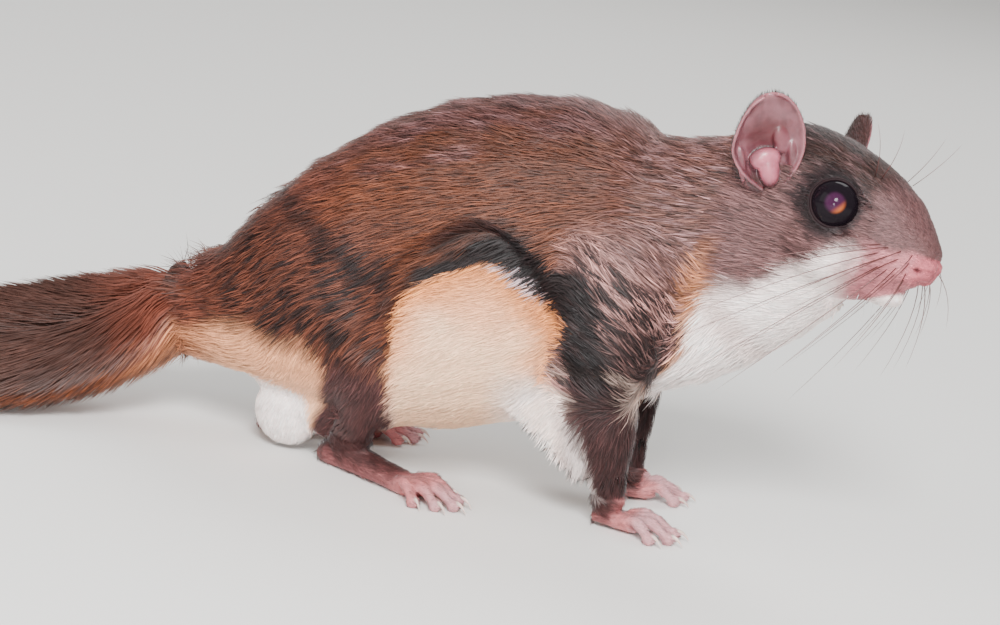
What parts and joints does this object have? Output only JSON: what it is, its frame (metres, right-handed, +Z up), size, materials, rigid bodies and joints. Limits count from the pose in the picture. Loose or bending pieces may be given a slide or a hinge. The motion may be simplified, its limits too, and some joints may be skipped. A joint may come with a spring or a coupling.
{
  "type": "southern flying squirrel model",
  "caption": "Still, life-size flying squirrel on four feet in a low walking stance, head turned, membranes folded on its flanks, flat tail laid out behind.",
  "frame": {"origin": "on the floor, under the centre of the model's bounding box", "axes": "+X towards the animal's head end, along its trunk; +Y towards its left; +Z up"},
  "size_m": [0.2138, 0.0778, 0.0772],
  "materials": {
    "bare_skin": "pink skin with sparse pale hair",
    "eye": "wet, glossy black",
    "fur_brown": "soft dense fur, cinnamon brown with grey tips",
    "fur_dark": "dark fur along the membrane's margin",
    "fur_grey": "soft dense fur, grey brown",
    "fur_tail": "long flat-lying hair, grey brown with a buff edge",
    "fur_white": "white fur"
  },
  "bodies": {
    "root": {"head": "fur_grey", "muzzle": "bare_skin", "neck": "fur_grey", "torso": "fur_brown", "tail": "fur_tail", "scrotum": "fur_white", "ear_right": "bare_skin", "ear_left": "bare_skin", "eye_right": "eye", "eye_left": "eye", "patagium_right": "fur_dark", "patagium_left": "fur_dark", "upper_arm_right": "fur_grey", "upper_arm_left": "fur_grey", "forearm_right": "fur_grey", "forearm_left": "fur_grey", "forefoot_right": "bare_skin", "forefoot_left": "bare_skin", "thigh_right": "fur_brown", "thigh_left": "fur_brown", "shank_right": "fur_grey", "shank_left": "fur_grey", "hindfoot_right": "bare_skin", "hindfoot_left": "bare_skin"}
  },
  "joints": []
}
